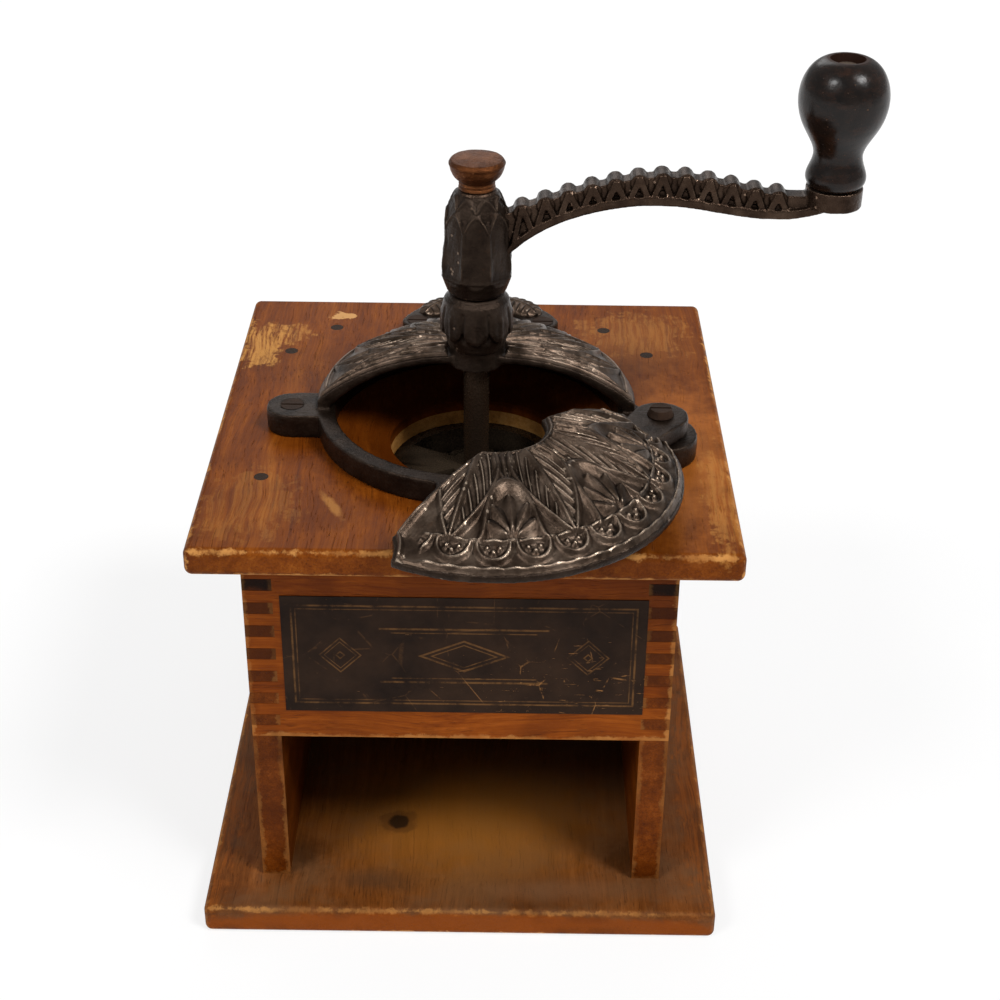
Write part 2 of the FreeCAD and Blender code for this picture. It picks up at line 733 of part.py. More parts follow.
def make_thumb_nut():
    """Mushroom nut with a beaded neck. It pulls the shaft and the inner burr up."""
    rim_z = nut_z + nut_h - 3.0
    top_z_nut = nut_z + nut_h
    neck_z = nut_z + 2.6
    bead = nut_neck_r + nut_bead
    a, b = V(bead, 0, nut_z), V(bead, 0, nut_z + 0.8)
    c, d = V(nut_neck_r, 0, nut_z + 1.2), V(bead, 0, nut_z + 1.7)
    e, f = V(nut_neck_r, 0, neck_z), V(nut_r - 0.4, 0, rim_z)
    g, h = V(nut_r, 0, rim_z + 0.9), V(nut_r - 0.8, 0, rim_z + 2.2)
    crown_rise = top_z_nut - h.z
    crown_r = (h.x ** 2 + crown_rise ** 2) / (2 * crown_rise)
    half_way = V(h.x / 2, 0, top_z_nut - crown_r + math.sqrt(crown_r ** 2 - (h.x / 2) ** 2))
    edges = [line(a, b), line(b, c), line(c, d), line(d, e),
             arc(e, V(nut_r - 1.5, 0, neck_z + 2.2), f), line(f, g), line(g, h),
             arc(h, half_way, V(0, 0, top_z_nut)),
             line(V(0, 0, top_z_nut), V(0, 0, nut_z)), line(V(0, 0, nut_z), a)]
    return turned(edges).cut(rod(thread_r + run_fit, nut_z - 1, top_z_nut - 2.0))


def make_knob():
    """Turned wooden knob with a deep cup in its crown for the spindle's head."""
    points = [
        V(knob_base_r - 1.4, 0, knob_z), V(knob_base_r, 0, knob_z + 4.0), V(knob_neck_r + 0.6, 0, knob_z + 7.6),
        V(knob_neck_r, 0, knob_z + 11.0), V(knob_neck_r + 1.4, 0, knob_z + 15.1),
        V(knob_r - 1.9, 0, knob_z + 20.9), V(knob_r - 0.3, 0, knob_z + 25.9), V(knob_r, 0, knob_z + 29.9),
        V(knob_r - 1.0, 0, knob_z + 35.1), V(knob_r - 4.0, 0, knob_z + 39.9),
        V(knob_mouth_r + 1.0, 0, knob_z + knob_h),
    ]
    top, foot = V(0, 0, knob_z + knob_h), V(0, 0, knob_z)
    edges = [smooth(points).toShape(), line(points[-1], top), line(top, foot), line(foot, points[0])]
    knob = turned(edges, knob_x)
    cup = rod(knob_mouth_r, knob_z + knob_h - knob_bore_deep, knob_z + knob_h + 1, knob_x)
    return knob.cut([cup, rod(spindle_r + run_fit, knob_z - 1, knob_z + knob_h, knob_x)])


def make_spindle():
    """Rivet that is peened into the arm's end, and that the knob turns on."""
    seat_z = knob_z + knob_h - knob_bore_deep + knob_gap + washer_t
    shank = rod(spindle_r, boss_z, seat_z + 0.5, knob_x)
    head = cone(spindle_head_r, spindle_head_r - 1.8, seat_z, seat_z + spindle_head_h, knob_x)
    return fuse([shank, head])


def make_washer():
    z0 = knob_z + knob_h - knob_bore_deep + knob_gap
    ring = rod(washer_r, z0, z0 + washer_t, knob_x)
    return ring.cut(rod(spindle_r + screw_fit, z0 - 1, z0 + washer_t + 1, knob_x))


def build():
    return {
        "base_board": make_base_board(),
        "left_side": make_side(-1),
        "right_side": make_side(1),
        "front_panel": make_end(True),
        "back_panel": make_end(False),
        "top_board": make_top_board(),
        "mill_board": make_mill_board(),
        "front_label": make_label(),
        "hopper_casting": make_hopper_casting(),
        "hopper_cover": make_cover(),
        "cover_rivet": make_cover_rivet(),
        "hopper_screws": make_hopper_screws(),
        "top_nails": make_nails(),
        "base_screws": make_upward_screws(base_screw_at, 0, base_screw_l),
        "mill_board_screws": make_upward_screws(board_screw_at, mill_board_z, board_screw_l),
        "burr_housing": make_burr_housing(),
        "outer_burr": make_outer_burr(),
        "burr_screws": make_upward_screws(burr_screw_at, flange_z, burr_screw_l),
        "drive_shaft": make_shaft(),
        "inner_burr": make_inner_burr(),
        "burr_pin": burr_pin_body(),
        "crank_arm": make_crank_arm(),
        "thumb_nut": make_thumb_nut(),
        "knob": make_knob(),
        "knob_spindle": make_spindle(),
        "knob_washer": make_washer(),
    }


def main():
    os.makedirs("parts", exist_ok=True)
    for name, shape in build().items():
        if len(shape.Solids) == 0 or not shape.isValid():
            print("check", name, len(shape.Solids), shape.isValid())
        shape.exportStep("parts/%s.step" % name)
        print(name, len(shape.Solids), round(shape.Volume, 1))


main()
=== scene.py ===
"""Looks for the hand crank coffee mill: worn shellacked wood, cast iron with leaf relief, black knob."""
import json
import math

import bpy
import numpy as np
from mathutils import Matrix, Vector


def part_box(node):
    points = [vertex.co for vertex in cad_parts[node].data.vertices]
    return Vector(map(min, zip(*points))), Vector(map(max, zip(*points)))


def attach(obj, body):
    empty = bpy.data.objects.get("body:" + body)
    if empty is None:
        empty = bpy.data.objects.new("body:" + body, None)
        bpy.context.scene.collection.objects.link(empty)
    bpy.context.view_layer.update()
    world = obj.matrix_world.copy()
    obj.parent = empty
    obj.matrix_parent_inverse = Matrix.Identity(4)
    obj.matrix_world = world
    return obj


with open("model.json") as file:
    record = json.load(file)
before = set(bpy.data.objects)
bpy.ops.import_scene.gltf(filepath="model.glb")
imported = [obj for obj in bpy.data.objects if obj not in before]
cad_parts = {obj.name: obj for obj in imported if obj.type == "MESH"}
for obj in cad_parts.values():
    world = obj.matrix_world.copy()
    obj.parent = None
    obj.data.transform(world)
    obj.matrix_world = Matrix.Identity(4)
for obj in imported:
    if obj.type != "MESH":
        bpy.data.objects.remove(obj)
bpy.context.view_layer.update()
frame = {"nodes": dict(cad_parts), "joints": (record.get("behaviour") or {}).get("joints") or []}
nodes = frame["nodes"]

# Units: the frame and the stage are in metres, other sizes are in millimetres
MM = 0.001


def node_box(name):
    """Middle and half size of a CAD node, in millimetres."""
    low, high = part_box(name)
    return (low + high) / 2 / MM, (high - low) / 2 / MM


def joint_place(name):
    """A joint's place in millimetres."""
    found = next(j for j in frame["joints"] if j["name"] == name)
    return Vector(found["pos_m"]) / MM


# Places read from the frame
deck_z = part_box("top_board")[1].z / MM
axis = joint_place("crank_turn")
pivot = joint_place("cover_swing")
cover_open = math.radians(48.0)

# Camera, fitted to the photo's straight edges
camera_place = Vector((14.9, -573.9, 473.3)) * MM
camera_pitch = math.radians(31.00)
camera_roll = math.radians(-0.61)
camera_yaw = math.radians(0.23)
camera_lens = 65.43
camera_sensor = 36.0

# Dome and cover sections, as in the solids: height over the deck at a distance from the axis
cover_arc = ((16.0, 28.4), (36.0, 23.6), (53.5, 14.8))
cover_lip = (61.5, 11.3)
cover_cut = 7.0
dome_arc = ((8.1, 29.6), (36.0, 24.0), (55.5, 12.0))
dome_cut = 5.3

# The left ear, which the cover's edge is scooped to clear: its place from the axis and the scoop's radius
ear_reach, ear_forward, ear_clear = 64.5, 1.5, 12.8

# The rear foot's bow: its radius, its middle behind the axis and its height over the deck
tail_r, tail_back, tail_h = 26.0, 65.0, 5.5


class Paint:
    """A material's node tree, with short ways to add and join nodes. Places are in millimetres."""

    def __init__(self, name):
        self.material = bpy.data.materials.new(name)
        self.material.use_nodes = True
        self.tree = self.material.node_tree
        self.shader = self.tree.nodes["Principled BSDF"]
        coords = self.add("ShaderNodeTexCoord")
        self.place = self.scaled(coords.outputs["Object"], (1 / MM, 1 / MM, 1 / MM))

    def add(self, kind, inputs=None, **settings):
        node = self.tree.nodes.new(kind)
        for key, value in settings.items():
            setattr(node, key, value)
        for key, value in (inputs or {}).items():
            self.join(value, node.inputs[key])
        return node

    def join(self, value, socket):
        if isinstance(value, bpy.types.NodeSocket):
            self.tree.links.new(value, socket)
        else:
            socket.default_value = value

    def scaled(self, place, scale):
        return self.add("ShaderNodeMapping", {"Vector": place, "Scale": scale}).outputs[0]

    def math(self, operation, a, b=0.0):
        return self.add("ShaderNodeMath", {0: a, 1: b}, operation=operation).outputs[0]

    def noise(self, place, period, detail=4.0, rough=0.55):
        inputs = {"Vector": place, "Scale": 1.0 / period, "Detail": detail, "Roughness": rough}
        return self.add("ShaderNodeTexNoise", inputs).outputs[0]

    def band(self, value, low, high):
        """Rises smoothly from 0 to 1 as value goes from low to high, or falls if low is the larger."""
        inputs = {"Value": value, "From Min": low, "From Max": high}
        return self.add("ShaderNodeMapRange", inputs, interpolation_type="SMOOTHSTEP").outputs[0]

    def between(self, value, low, high):
        """Value from 0 to 1 spread between low and high."""
        return self.add("ShaderNodeMapRange", {"Value": value, "To Min": low, "To Max": high}).outputs[0]

    def stripe(self, value, middle, half_width):
        """1 on a thin line where value is near middle."""
        off = self.math("ABSOLUTE", self.math("SUBTRACT", value, middle))
        return self.band(off, half_width + 0.12, half_width - 0.05)

    def mix(self, share, a, b, blend="MIX"):
        node = self.add("ShaderNodeMix", {0: share}, data_type="RGBA", blend_type=blend)
        for value, socket in ((a, node.inputs[6]), (b, node.inputs[7])):
            self.join((*value, 1.0) if isinstance(value, tuple) else value, socket)
        return node.outputs[2]

    def ramp(self, value, stops):
        node = self.add("ShaderNodeValToRGB", {"Fac": value})
        elements = node.color_ramp.elements
        while len(elements) < len(stops):
            elements.new(0.5)
        for element, (place, colour) in zip(elements, stops):
            element.position = place
            element.color = (*colour, 1.0)
        return node.outputs[0]

    def spot(self, centre, size, warp=0.0, period=6.0, turn=0.0):
        """Distance from a centre in units of size, roughened by noise: under 1 is inside the spot.
        turn swings the spot about the vertical, in radians."""
        away = self.add("ShaderNodeVectorMath", {0: self.place, 1: tuple(centre)}, operation="SUBTRACT")
        swing = self.add("ShaderNodeVectorRotate", {"Vector": away.outputs[0], "Angle": -turn},
                         rotation_type="Z_AXIS")
        inputs = {0: swing.outputs[0], 1: tuple(size)}
        unit = self.add("ShaderNodeVectorMath", inputs, operation="DIVIDE")
        length = self.add("ShaderNodeVectorMath", {0: unit.outputs[0]}, operation="LENGTH").outputs[1]
        if warp == 0.0:
            return length
        rough = self.between(self.noise(self.place, period, 5.0, 0.65), -warp, warp)
        return self.math("ADD", length, rough)

    def axes(self):
        node = self.add("ShaderNodeSeparateXYZ", {0: self.place})
        return list(node.outputs)

    def edge_distance(self, centre, half):
        """How far a point of a board lies from the nearest edge between two of its faces."""
        depth = []
        for k, coordinate in enumerate(self.axes()):
            off = self.math("ABSOLUTE", self.math("SUBTRACT", coordinate, centre[k]))
            depth.append(self.math("SUBTRACT", half[k], off))
        small = self.math("MINIMUM", depth[0], depth[1])
        large = self.math("MAXIMUM", depth[0], depth[1])
        return self.math("MAXIMUM", small, self.math("MINIMUM", large, depth[2]))

    def finish(self, colour, roughness, bump=None, bump_depth=0.0002, metal=0.0, shine=0.5):
        self.join(colour, self.shader.inputs["Base Color"])
        self.join(roughness, self.shader.inputs["Roughness"])
        self.join(metal, self.shader.inputs["Metallic"])
        self.join(shine, self.shader.inputs["Specular IOR Level"])
        if bump is not None:
            inputs = {"Height": bump, "Distance": bump_depth, "Strength": 1.0}
            node = self.add("ShaderNodeBump", inputs)
            self.join(node.outputs[0], self.shader.inputs["Normal"])
        return self.material


# Wood

WORN = (0.58, 0.265, 0.072)
GRAIN_STRETCH = 0.03


def mark(centre, size, warp, tint, strength, torn=False, turn=0.0, full=0.70):
    """A patch on a board: place, half sizes, raggedness, colour, strength, streaky or not, its turn,
    and the share of its size over which it has its full strength."""
    return centre, size, warp, tint, strength, torn, turn, full


def wood(name, grain, tones, edges_of=None, wear=1.0, dust=0.0, marks=(), gloss=0.42):
    """Streaky softwood. grain is the axis it runs along, tones run from dark to light, edges_of names the
    board whose edges are rubbed pale, and marks are patches made by mark()."""
    p = Paint(name)
    squeeze = [1.0, 1.0, 1.0]
    squeeze[grain] = GRAIN_STRETCH
    along = p.scaled(p.place, tuple(squeeze))
    sway = p.add("ShaderNodeTexNoise", {"Vector": p.place, "Scale": 1 / 55.0, "Detail": 2.0})
    bent = p.add("ShaderNodeVectorMath", {0: sway.outputs[1], 1: (9.0, 9.0, 9.0)}, operation="MULTIPLY_ADD")
    p.join(along, bent.inputs[2])
    flow = bent.outputs[0]
    bands = p.noise(flow, 13.0, 3.0, 0.6)
    streaks = p.noise(flow, 2.6, 6.0, 0.68)
    fibres = p.noise(flow, 0.7, 3.0, 0.6)
    pores = p.band(p.noise(flow, 0.55, 2.0, 0.5), 0.62, 0.74)
    tone = p.math("ADD", p.math("MULTIPLY", bands, 0.5), p.math("MULTIPLY", streaks, 0.5))
    tone = p.math("ADD", tone, p.between(fibres, -0.17, 0.17))
    colour = p.ramp(tone, [(0.33, tones[0]), (0.47, tones[1]), (0.58, tones[2]), (0.72, tones[3])])
    blotch = p.band(p.noise(p.place, 32.0, 4.0, 0.6), 0.42, 0.68)
    colour = p.mix(p.math("MULTIPLY", blotch, 0.55), colour, tones[0])
    colour = p.mix(p.math("MULTIPLY", pores, 0.45), colour, tuple(0.45 * c for c in tones[0]))
    grit = p.noise(p.place, 1.1, 5.0, 0.7)
    dirt = p.band(p.noise(flow, 1.2, 6.0, 0.75), 0.56, 0.70)
    colour = p.mix(p.math("MULTIPLY", dirt, 0.5), colour, tuple(0.4 * c for c in tones[0]))
    if dust > 0.0:
        film = p.math("MULTIPLY", p.band(p.noise(p.place, 24.0, 5.0, 0.62), 0.38, 0.66), dust)
        colour = p.mix(film, colour, (0.125, 0.060, 0.026))
    flecks = p.band(p.noise(p.place, 2.3, 6.0, 0.75), 0.715, 0.76)
    colour = p.mix(p.math("MULTIPLY", flecks, 0.75 * wear), colour, WORN)
    worn = p.math("MULTIPLY", flecks, 0.6)
    tatters = p.band(p.noise(flow, 1.5, 6.0, 0.72), 0.40, 0.60)
    for centre, size, warp, tint, strength, torn, turn, full in marks:
        mask = p.band(p.spot(centre, size, warp, turn=turn), 1.0, full)
        if torn:
            mask = p.math("MULTIPLY", mask, tatters)
        colour = p.mix(p.math("MULTIPLY", mask, strength), colour, tint)
    if edges_of:
        centre, half = node_box(edges_of)
        edge = p.edge_distance(centre, half)
        ragged = p.between(p.noise(p.place, 6.0, 7.0, 0.75), -3.6, 3.6)
        rub = p.band(p.math("ADD", edge, ragged), 1.7, 0.6)
        rub = p.math("MULTIPLY", rub, p.between(p.band(p.noise(p.place, 21.0, 4.0), 0.38, 0.58), 0.30, 1.0))
        colour = p.mix(p.math("MULTIPLY", rub, 0.8 * wear), colour, WORN)
        soil = p.math("MULTIPLY", p.band(edge, 7.0, 1.5), p.band(p.noise(p.place, 15.0, 4.0), 0.5, 0.7))
        colour = p.mix(p.math("MULTIPLY", soil, 0.4), colour, tuple(0.5 * c for c in tones[0]))
        worn = p.math("MAXIMUM", worn, rub)
    roughness = p.math("ADD", p.between(streaks, gloss - 0.08, gloss + 0.12), p.math("MULTIPLY", worn, 0.22))
    height = p.math("SUBTRACT", p.math("MULTIPLY", streaks, 0.6), p.math("MULTIPLY", pores, 0.5))
    height = p.math("ADD", height, p.math("MULTIPLY", grit, 0.25))
    height = p.math("SUBTRACT", height, p.math("MULTIPLY", worn, 0.5))
    return p.finish(colour, roughness, height, 0.00022, shine=0.07)


TOP_TONES = ((0.085, 0.017, 0.001), (0.150, 0.034, 0.002), (0.200, 0.050, 0.0035), (0.29, 0.088, 0.010))
BOX_TONES = ((0.100, 0.019, 0.001), (0.180, 0.037, 0.002), (0.240, 0.054, 0.003), (0.33, 0.086, 0.009))
SIDE_TONES = ((0.058, 0.011, 0.0006), (0.098, 0.021, 0.0012), (0.138, 0.031, 0.002), (0.21, 0.056, 0.007))
RIGHT_TONES = tuple(tuple(1.22 * c for c in tone) for tone in SIDE_TONES)
BASE_TONES = ((0.075, 0.020, 0.003), (0.130, 0.038, 0.006), (0.175, 0.053, 0.010), (0.25, 0.085, 0.020))
# Raw wood of the mill board: its own pale colour, made lighter still as painted light in the throat, where
# little lamp light reaches.
RAW_TONES_WITH_LIGHT = ((0.32, 0.135, 0.030), (0.46, 0.215, 0.055), (0.56, 0.285, 0.085), (0.66, 0.37, 0.13))
# Painted shade: near-black that stands for the unlit inside of the box.
INNER_SHADE = (0.004, 0.001, 0.0003)
PALE = (0.46, 0.20, 0.042)

scrape_start, scrape_end = Vector((-47.8, -53.9, deck_z)), Vector((-36.9, -76.4, deck_z))
scrape_run = scrape_end - scrape_start
scrape_size = (2.3, scrape_run.length / 2, 8.0)
scrape_turn = math.atan2(scrape_run.y, scrape_run.x) - math.pi / 2
top_marks = [
    mark((axis.x, axis.y, deck_z), (72.0, 70.0, 12.0), 0.5, (0.070, 0.014, 0.001), 0.5),
    mark((axis.x, axis.y, deck_z - 5.0), (49.0, 49.0, 4.6), 0.2, (0.055, 0.011, 0.0005), 0.7),
    mark((-80.0, 52.0, deck_z), (10.0, 22.0, 8.0), 1.4, (0.52, 0.235, 0.050), 0.85, True),
    mark((-70.0, 62.0, deck_z), (9.0, 10.0, 8.0), 1.4, PALE, 0.6, True),
    mark((-50.6, 78.9, deck_z), (5.4, 2.8, 8.0), 1.6, (0.56, 0.29, 0.10), 0.9),
    # painted light: two broad, softly fading lighter areas over the right side of the top
    mark((72.0, -30.0, deck_z), (38.0, 78.0, 8.0), 0.5, (0.38, 0.116, 0.018), 0.85, full=0.1),
    mark((62.0, 56.0, deck_z), (36.0, 34.0, 8.0), 0.5, (0.27, 0.086, 0.016), 0.6, full=0.1),
    mark((66.0, 66.0, deck_z), (24.0, 20.0, 8.0), 1.3, PALE, 0.30, True),
    mark((-70.0, -66.0, deck_z), (18.0, 24.0, 8.0), 1.2, PALE, 0.22, True),
    mark((86.0, -60.0, deck_z), (7.0, 44.0, 8.0), 1.2, PALE, 0.45, True),
    mark((scrape_start + scrape_end) / 2, scrape_size, 0.9, (0.38, 0.160, 0.034), 0.7,
         turn=scrape_turn, full=0.3),
]

base_middle, base_half = node_box("base_board")
base_top = base_middle.z + base_half.z
base_front = base_middle.y - base_half.y
base_marks = [
    mark((0.0, -40.0, base_top), (74.0, 52.0, 5.0), 0.12, (0.265, 0.098, 0.014), 0.75, full=0.1),
    # painted shade on the floor at the back of the box
    mark((0.0, 62.0, base_top), (90.0, 74.0, 5.0), 0.1, INNER_SHADE, 0.9, full=0.15),
    mark((-30.0, -76.0, base_top), (24.0, 9.0, 5.0), 0.7, (0.055, 0.030, 0.016), 0.5, full=0.1),
    mark((34.0, -80.0, base_top), (40.0, 8.0, 5.0), 0.7, (0.16, 0.075, 0.034), 0.5, full=0.1),
    mark((-24.5, -44.0, base_top), (4.6, 4.6, 5.0), 0.35, (0.012, 0.006, 0.003), 0.9),
    mark((-24.5, -44.0, base_top), (9.0, 7.0, 5.0), 0.6, (0.030, 0.014, 0.006), 0.4),
    mark((0.0, base_front, 4.0), (120.0, 2.6, 7.2), 0.25, (0.215, 0.046, 0.002), 0.85),
    mark((0.0, base_front, -0.4), (110.0, 3.0, 1.9), 1.9, (0.55, 0.27, 0.085), 0.8),
]
for sign in (-1, 1):
    edge_x = base_middle.x + sign * base_half.x
    base_marks += [
        mark((edge_x, -20.0, base_top), (11.0, 90.0, 9.0), 0.6, (0.25, 0.066, 0.008), 0.6, torn=True),
        mark((sign * 62.0, -62.0, base_top), (18.0, 16.0, 6.0), 0.8, (0.030, 0.012, 0.004), 0.5, full=0.1),
    ]


def end_grain_and_shade_marks(side):
    """Dark end grain where the fingers of a side board show in the front, with painted shade that is
    blackest at the top, under the top board.
    """
    middle, half = node_box(side)
    front, top = middle.y - half.y, middle.z + half.z
    return [
        mark((middle.x, front, top - 26.0), (14.0, 3.0, 34.0), 0.35, (0.050, 0.011, 0.001), 0.7),
        # painted shade under the top board's overhang
        mark((middle.x, front, top - 9.0), (14.0, 3.0, 12.0), 0.35, (0.007, 0.0025, 0.0008), 0.92),
    ]


back_middle, back_half = node_box("back_panel")
# painted shade on the inner face of the back panel
inner_shade_marks = [mark((0.0, back_middle.y - back_half.y, 50.0), (120.0, 6.0, 90.0), 0.1, INNER_SHADE, 0.97)]

wood_top = wood("top_wood", 1, TOP_TONES, "top_board", marks=top_marks, gloss=0.42)
wood_base = wood("base_wood", 1, BASE_TONES, "base_board", wear=0.55, dust=0.6, marks=base_marks, gloss=0.48)
wood_front = wood("front_wood", 0, BOX_TONES, "front_panel", wear=0.6)
wood_back = wood("back_wood", 0, BOX_TONES, "back_panel", wear=0.6, marks=inner_shade_marks)
wood_left = wood("left_wood", 1, SIDE_TONES, "left_side", wear=0.22, marks=end_grain_and_shade_marks("left_side"))
wood_right = wood("right_wood", 1, RIGHT_TONES, "right_side", wear=0.22, marks=end_grain_and_shade_marks("right_side"))
# painted light: the throat's raw wood is made lighter than its own colour
wood_raw_with_light = wood("raw_wood", 1, RAW_TONES_WITH_LIGHT, wear=0.4, gloss=0.62)


# Iron and steel

def iron(name, tones, bare, metal=0.55, gloss=0.40, rust=0.35, depth=0.00045):
    """Old black japanned iron: dark hollows, and a pale colour on its high places that is partly rubbed bare
    iron and partly painted highlight, with a little rust.
    """
    p = Paint(name)
    mottle = p.noise(p.place, 7.0, 5.0, 0.6)
    grain = p.noise(p.place, 0.9, 5.0, 0.65)
    colour = p.ramp(mottle, [(0.30, tones[0]), (0.52, tones[1]), (0.75, tones[2])])
    rusty = p.band(p.noise(p.place, 3.4, 6.0, 0.72), 0.58, 0.72)
    colour = p.mix(p.math("MULTIPLY", rusty, rust), colour, (0.075, 0.034, 0.016))
    bend = p.add("ShaderNodeNewGeometry").outputs["Pointiness"]
    wobble = p.math("ADD", bend, p.between(p.noise(p.place, 2.2, 5.0, 0.7), -0.02, 0.02))
    # pale colour on high places: partly worn bare iron, partly painted highlight
    high = p.band(wobble, 0.525, 0.60)
    deep = p.band(wobble, 0.495, 0.445)
    colour = p.mix(p.math("MULTIPLY", high, 0.75), colour, bare)
    colour = p.mix(p.math("MULTIPLY", deep, 0.9), colour, tuple(0.35 * c for c in tones[0]))
    rough = p.math("SUBTRACT", p.between(grain, gloss - 0.06, gloss + 0.20), p.math("MULTIPLY", high, 0.10))
    height = p.math("ADD", p.math("MULTIPLY", grain, 0.6), p.math("MULTIPLY", mottle, 0.5))
    return p.finish(colour, rough, height, depth, metal, shine=0.15)


BLACK_IRON = ((0.012, 0.007, 0.0045), (0.027, 0.017, 0.0115), (0.046, 0.031, 0.022))
# Relief on the cover, dome and rear foot: lighter iron, partly worn bare iron and partly painted sheen on
# these upward faces.
RELIEF_IRON_AND_SHEEN = ((0.022, 0.013, 0.008), (0.080, 0.054, 0.038), (0.175, 0.127, 0.094))
DOME_IRON_AND_SHEEN = ((0.024, 0.015, 0.009), (0.105, 0.071, 0.051), (0.225, 0.166, 0.124))
# Painted light: the crank's black iron made lighter for the arm than for the hub.
LIT_ARM_IRON = ((0.020, 0.011, 0.007), (0.044, 0.026, 0.017), (0.078, 0.050, 0.034))
BARE_IRON = ((0.05, 0.042, 0.035), (0.09, 0.078, 0.066), (0.15, 0.132, 0.115))
OLD_STEEL = ((0.050, 0.030, 0.018), (0.090, 0.060, 0.040), (0.15, 0.108, 0.076))
SHAFT_STEEL = ((0.012, 0.0065, 0.0035), (0.026, 0.0155, 0.009), (0.052, 0.033, 0.021))
# Painted shade: near-black iron for the burr housing and outer burr, deep in the throat.
SHADED_IRON = ((0.003, 0.002, 0.0012), (0.007, 0.0045, 0.003), (0.014, 0.009, 0.006))
NAIL_IRON = ((0.010, 0.005, 0.002), (0.026, 0.012, 0.006), (0.052, 0.026, 0.013))
NUT_METAL = ((0.056, 0.017, 0.0055), (0.118, 0.040, 0.013), (0.20, 0.075, 0.027))

black_iron = iron("black_iron", BLACK_IRON, (0.22, 0.15, 0.105), 0.7, 0.25)
# painted light on the arm
lit_arm_iron = iron("lit_arm_iron", LIT_ARM_IRON, (0.40, 0.27, 0.19), 0.75, 0.22, depth=0.0003)
# partly worn iron, partly painted sheen
relief_iron_and_sheen = iron("relief_iron_and_sheen", RELIEF_IRON_AND_SHEEN, (0.68, 0.53, 0.40), 0.80, 0.26, depth=0.00025)
dome_iron_and_sheen = iron("dome_iron_and_sheen", DOME_IRON_AND_SHEEN, (0.56, 0.43, 0.325), 0.80, 0.30, depth=0.0002)
burr_iron = iron("burr_iron", BARE_IRON, (0.3, 0.28, 0.25), 0.8)
old_steel = iron("old_steel", OLD_STEEL, (0.32, 0.25, 0.19), 0.75, 0.36)
# painted shade for the parts deep in the throat
shaded_iron = iron("shaded_iron", SHADED_IRON, (0.10, 0.07, 0.045), 0.6, 0.30)
nail_iron = iron("nail_iron", NAIL_IRON, (0.026, 0.013, 0.007), 0.1, 0.60)
shaft_steel = iron("shaft_steel", SHAFT_STEEL, (0.065, 0.042, 0.027), 0.7, 0.30)
nut_metal = iron("nut_metal", NUT_METAL, (0.30, 0.13, 0.055), 0.9, 0.38)


def knob_paint():
    """Black gloss paint on turned wood, with brown rub marks, pin-head chips and a bare mouth."""
    p = Paint("knob_paint")
    middle, half = node_box("knob")
    blacks = [(0.3, (0.004, 0.0025, 0.002)), (0.7, (0.012, 0.007, 0.005))]
    colour = p.ramp(p.noise(p.place, 5.0, 4.0), blacks)
    flat = p.scaled(p.place, (1.0, 1.0, 2.2))
    rub = p.band(p.noise(flat, 7.0, 8.0, 0.8), 0.46, 0.70)
    colour = p.mix(p.math("MULTIPLY", rub, 0.55), colour, (0.036, 0.014, 0.007))
    mouth = p.band(p.spot((middle.x, middle.y, middle.z + half.z - 1.5), (8.4, 8.4, 4.4), 0.3), 1.0, 0.75)
    colour = p.mix(p.math("MULTIPLY", mouth, 0.8), colour, (0.032, 0.011, 0.005))
    chips = p.band(p.noise(p.place, 1.0, 3.0, 0.6), 0.70, 0.74)
    colour = p.mix(p.math("MULTIPLY", chips, 0.6), colour, (0.26, 0.12, 0.05))
    rough = p.between(p.noise(p.place, 3.0, 6.0, 0.7), 0.14, 0.36)
    rough = p.math("ADD", rough, p.math("MULTIPLY", p.math("MAXIMUM", chips, mouth), 0.3))
    height = p.math("SUBTRACT", p.noise(p.place, 4.0, 4.0), chips)
    return p.finish(colour, rough, height, 0.00016, shine=0.26)


